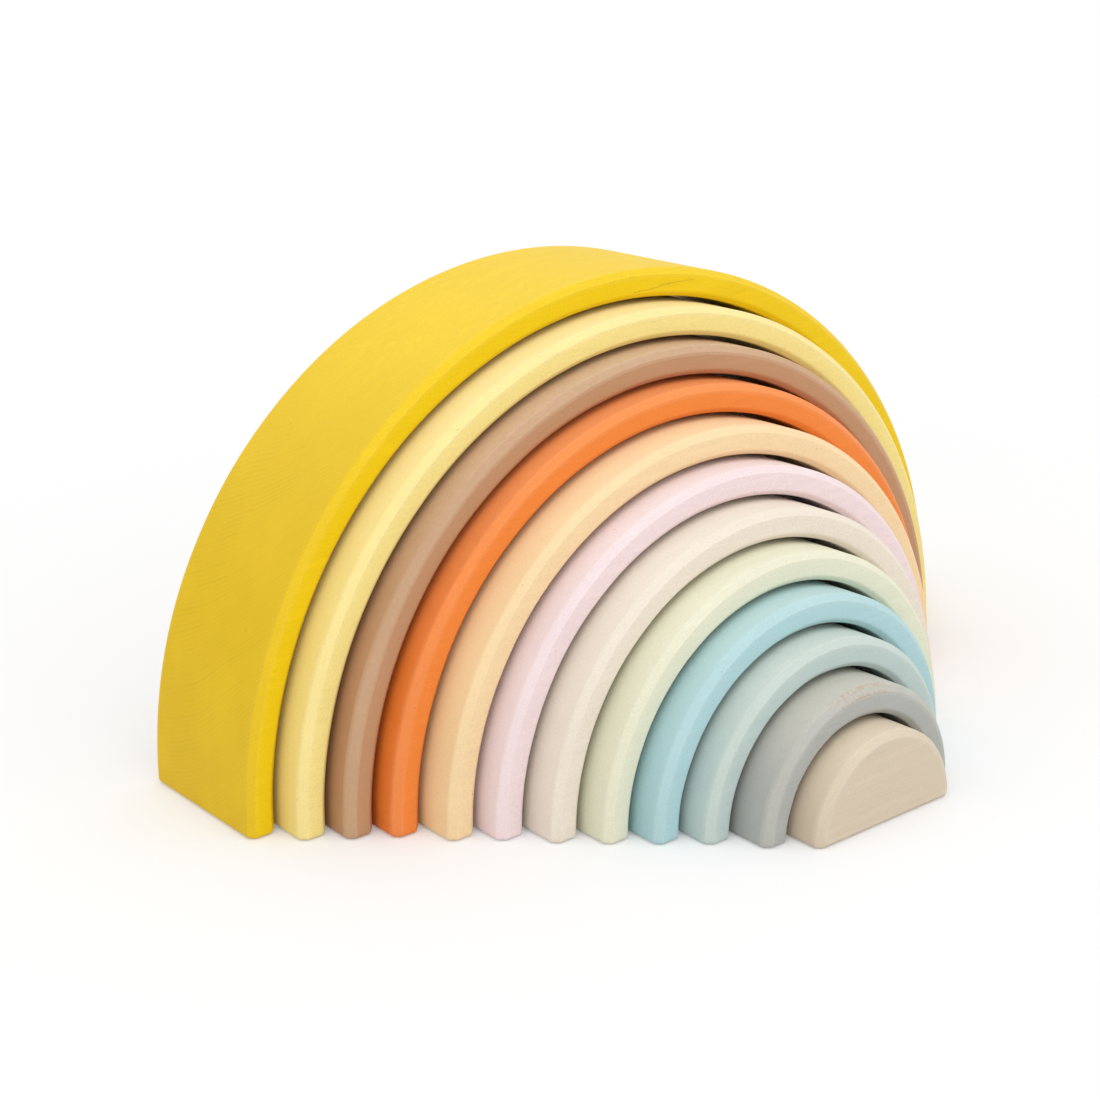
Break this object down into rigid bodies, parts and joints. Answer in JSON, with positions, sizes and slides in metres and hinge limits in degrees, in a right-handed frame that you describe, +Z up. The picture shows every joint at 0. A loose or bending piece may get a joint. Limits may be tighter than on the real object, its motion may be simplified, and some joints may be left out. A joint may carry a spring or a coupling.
{
  "type": "rainbow stacker",
  "caption": "Nesting wooden rainbow toy: chamfered half-round arches and a half disc that slide forward out of one another and stand on flat feet.",
  "frame": {"origin": "on the floor, in the middle of the nest from left to right and from front to back", "axes": "+X to the right as seen from the front, +Y to the back, +Z up; the pieces' shared axis lies along Y on the floor"},
  "size_m": [0.36, 0.2106, 0.18],
  "materials": {
    "arch_sun_yellow": "matte coloured stain, with the grain showing through",
    "arch_lemon": "matte coloured stain, with the grain showing through",
    "arch_cocoa": "matte coloured stain, with the grain showing through",
    "arch_orange": "matte coloured stain, with the grain showing through",
    "arch_apricot": "matte coloured stain, with the grain showing through",
    "arch_pink": "matte coloured stain, with the grain showing through",
    "arch_cream": "matte coloured stain, with the grain showing through",
    "arch_pistachio": "matte coloured stain, with the grain showing through",
    "arch_sky_blue": "matte coloured stain, with the grain showing through",
    "arch_sage": "matte coloured stain, with the grain showing through",
    "arch_grey": "matte coloured stain, with the grain showing through",
    "half_disc_sand": "matte coloured stain, with the grain showing through"
  },
  "bodies": {
    "arch_sun_yellow": {"arch_sun_yellow": "arch_sun_yellow"},
    "arch_lemon": {"arch_lemon": "arch_lemon"},
    "arch_cocoa": {"arch_cocoa": "arch_cocoa"},
    "arch_orange": {"arch_orange": "arch_orange"},
    "arch_apricot": {"arch_apricot": "arch_apricot"},
    "arch_pink": {"arch_pink": "arch_pink"},
    "arch_cream": {"arch_cream": "arch_cream"},
    "arch_pistachio": {"arch_pistachio": "arch_pistachio"},
    "arch_sky_blue": {"arch_sky_blue": "arch_sky_blue"},
    "arch_sage": {"arch_sage": "arch_sage"},
    "arch_grey": {"arch_grey": "arch_grey"},
    "half_disc_sand": {"half_disc_sand": "half_disc_sand"}
  },
  "joints": [
    {"name": "lemon_slide", "type": "slide", "parent": "arch_sun_yellow", "child": "arch_lemon", "axis": [0, -1, 0], "range_m": [-0.0135, 0.0615]},
    {"name": "cocoa_slide", "type": "slide", "parent": "arch_sun_yellow", "child": "arch_cocoa", "axis": [0, -1, 0], "range_m": [-0.024, 0.0645]},
    {"name": "orange_slide", "type": "slide", "parent": "arch_sun_yellow", "child": "arch_orange", "axis": [0, -1, 0], "range_m": [-0.034, 0.065]},
    {"name": "apricot_slide", "type": "slide", "parent": "arch_sun_yellow", "child": "arch_apricot", "axis": [0, -1, 0], "range_m": [-0.0495, 0.0595]},
    {"name": "pink_slide", "type": "slide", "parent": "arch_sun_yellow", "child": "arch_pink", "axis": [0, -1, 0], "range_m": [-0.061, 0.0635]},
    {"name": "cream_slide", "type": "slide", "parent": "arch_sun_yellow", "child": "arch_cream", "axis": [0, -1, 0], "range_m": [-0.0755, 0.0605]},
    {"name": "pistachio_slide", "type": "slide", "parent": "arch_sun_yellow", "child": "arch_pistachio", "axis": [0, -1, 0], "range_m": [-0.0885, 0.062]},
    {"name": "sky_blue_slide", "type": "slide", "parent": "arch_sun_yellow", "child": "arch_sky_blue", "axis": [0, -1, 0], "range_m": [-0.1005, 0.063]},
    {"name": "sage_slide", "type": "slide", "parent": "arch_sun_yellow", "child": "arch_sage", "axis": [0, -1, 0], "range_m": [-0.1125, 0.063]},
    {"name": "grey_slide", "type": "slide", "parent": "arch_sun_yellow", "child": "arch_grey", "axis": [0, -1, 0], "range_m": [-0.128, 0.0595]},
    {"name": "disc_sand_slide", "type": "slide", "parent": "arch_sun_yellow", "child": "half_disc_sand", "axis": [0, -1, 0], "range_m": [-0.1405, 0.0625]}
  ]
}
